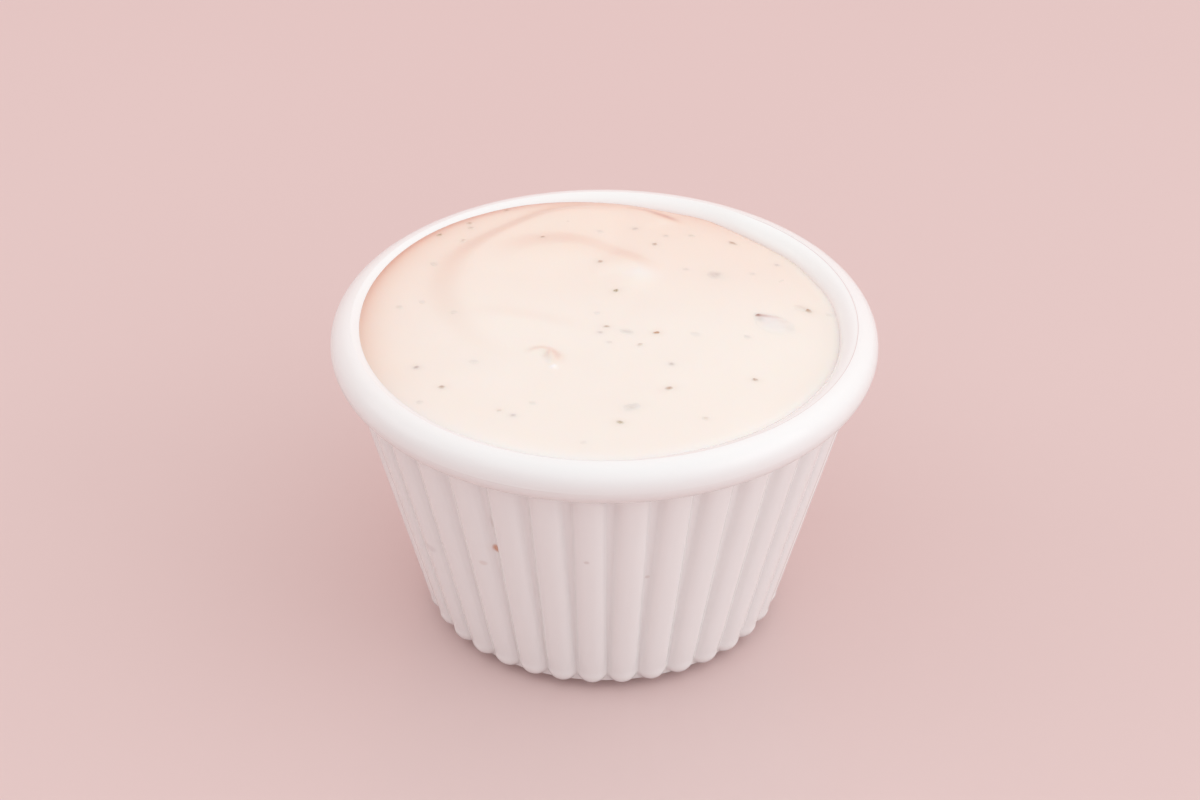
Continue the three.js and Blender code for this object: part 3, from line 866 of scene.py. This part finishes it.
# ---------------------------------------------------------------- floor, light, camera
def build_floor():
    s = 900.0
    n = 24
    g = np.linspace(-s, s, n)
    X, Y = np.meshgrid(g, g, indexing="ij")
    V = np.stack([X, Y, np.zeros_like(X)], -1).reshape(-1, 3)
    F = []
    for i in range(n - 1):
        for j in range(n - 1):
            F.append((i * n + j, (i + 1) * n + j, (i + 1) * n + j + 1, i * n + j + 1))
    ob = make_mesh("studio_floor", V, F)
    m, nt, b = new_mat("pale_floor")
    tc = node(nt, "ShaderNodeTexCoord")
    v = noise(nt, tc.outputs["Object"], 8.0, 2.0)
    nt.links.new(mix_color(nt, v, (0.725, 0.555, 0.54), (0.75, 0.58, 0.565)), b.inputs["Base Color"])
    b.inputs["Roughness"].default_value = 0.22
    b.inputs["Specular IOR Level"].default_value = 0.5
    ob.data.materials.append(m)
    return ob


floor = build_floor()


def area(name, direction, dist, size, power, color, target=(0, 0, 0.03)):
    d = Vector(direction).normalized()
    ld = bpy.data.lights.new(name, "AREA")
    ld.shape = "RECTANGLE"
    ld.size, ld.size_y = size
    ld.energy = power
    ld.color = color
    ob = bpy.data.objects.new(name, ld)
    bpy.context.scene.collection.objects.link(ob)
    ob.location = Vector(target) + d * dist
    ob.rotation_euler = (-d).to_track_quat("-Z", "Y").to_euler()
    return ob


area("softbox_right", (0.90, -0.36, 0.52), 1.15, (0.85, 0.6), 1.15, (0.99, 1.0, 1.0))
area("softbox_left", (-0.93, 0.05, 0.45), 1.3, (0.7, 0.6), 0.8, (0.99, 1.0, 1.0))

# the room's light: three bands of height over the horizon and the zenith, each with its own colours going round from -X
# through -Y, +X and +Y (left, front, right, back)
LOW = [(0.80, 0.78, 0.78), (0.48, 0.38, 0.38), (0.60, 0.52, 0.53), (0.95, 0.97, 1.0), (1.08, 1.06, 1.06), (0.92, 0.82, 0.80), (0.85, 0.48, 0.45), (0.84, 0.60, 0.58)]
MID_BAND = [(0.95, 0.93, 0.93), (0.60, 0.46, 0.46), (0.85, 0.74, 0.76), (1.15, 1.18, 1.22), (1.20, 1.22, 1.24), (0.92, 0.78, 0.76), (0.76, 0.36, 0.34), (0.80, 0.50, 0.48)]
HIGH = [(1.05, 1.06, 1.06), (1.20, 1.20, 1.21), (1.35, 1.38, 1.38), (0.96, 0.74, 0.72)]
TOP = (0.90, 0.96, 0.95)

world = bpy.data.worlds.new("studio")
bpy.context.scene.world = world
world.use_nodes = True
wt = world.node_tree
wt.nodes.clear()
wo = wt.nodes.new("ShaderNodeOutputWorld")
bg = wt.nodes.new("ShaderNodeBackground")
wt.links.new(bg.outputs[0], wo.inputs["Surface"])
tcw = wt.nodes.new("ShaderNodeTexCoord")
sep = wt.nodes.new("ShaderNodeSeparateXYZ")
wt.links.new(tcw.outputs["Generated"], sep.inputs[0])
turn = math_node(wt, "ARCTAN2", sep.outputs["Y"], sep.outputs["X"])
turn = maprange(wt, turn, -math.pi, math.pi, 0.0, 1.0)


def band(cols):
    n = wt.nodes.new("ShaderNodeValToRGB")
    wt.links.new(turn, n.inputs["Fac"])
    c = n.color_ramp
    c.interpolation = "LINEAR"
    c.elements[0].position, c.elements[0].color = 0.0, (*cols[0], 1)
    c.elements[1].position, c.elements[1].color = 1.0, (*cols[0], 1)
    for i in range(1, len(cols)):
        c.elements.new(i / len(cols)).color = (*cols[i], 1)
    return n.outputs["Color"]


sky = mix_color(wt, maprange(wt, sep.outputs["Z"], 0.0, 0.35, 0.0, 1.0), band(LOW), band(MID_BAND))
sky = mix_color(wt, maprange(wt, sep.outputs["Z"], 0.35, 0.70, 0.0, 1.0), sky, band(HIGH))
sky = mix_color(wt, maprange(wt, sep.outputs["Z"], 0.70, 1.0, 0.0, 1.0), sky, TOP)
wt.links.new(sky, bg.inputs["Color"])
bg.inputs["Strength"].default_value = 1.0

cam_data = bpy.data.cameras.new("camera")
cam_data.sensor_fit = "HORIZONTAL"
cam_data.sensor_width = 36.0
F_PX = 3098.8976
cam_data.lens = F_PX * 36.0 / 1200.0
cam_data.clip_start, cam_data.clip_end = 0.01, 20.0
cam = bpy.data.objects.new("camera", cam_data)
bpy.context.scene.collection.objects.link(cam)
PITCH, YAW, ROLL = 0.5838950767, -0.00151924595, 0.00629344398
fwd = np.array([math.sin(YAW) * math.cos(PITCH), math.cos(YAW) * math.cos(PITCH), -math.sin(PITCH)])
right = np.array([math.cos(YAW), -math.sin(YAW), 0.0])
up = np.cross(right, fwd)
r_ = right * math.cos(ROLL) + up * math.sin(ROLL)
u_ = -right * math.sin(ROLL) + up * math.cos(ROLL)
M = Matrix.Identity(4)
for i in range(3):
    M[i][0], M[i][1], M[i][2] = r_[i], u_[i], -fwd[i]
M[0][3], M[1][3], M[2][3] = 0.0, -349.79344 * MM, 262.22763 * MM
cam.matrix_world = M
bpy.context.scene.camera = cam

vs = bpy.context.scene.view_settings
vs.view_transform = "Standard"
vs.look = "None"
vs.exposure = 0.0
vs.gamma = 1.0

bpy.context.view_layer.update()
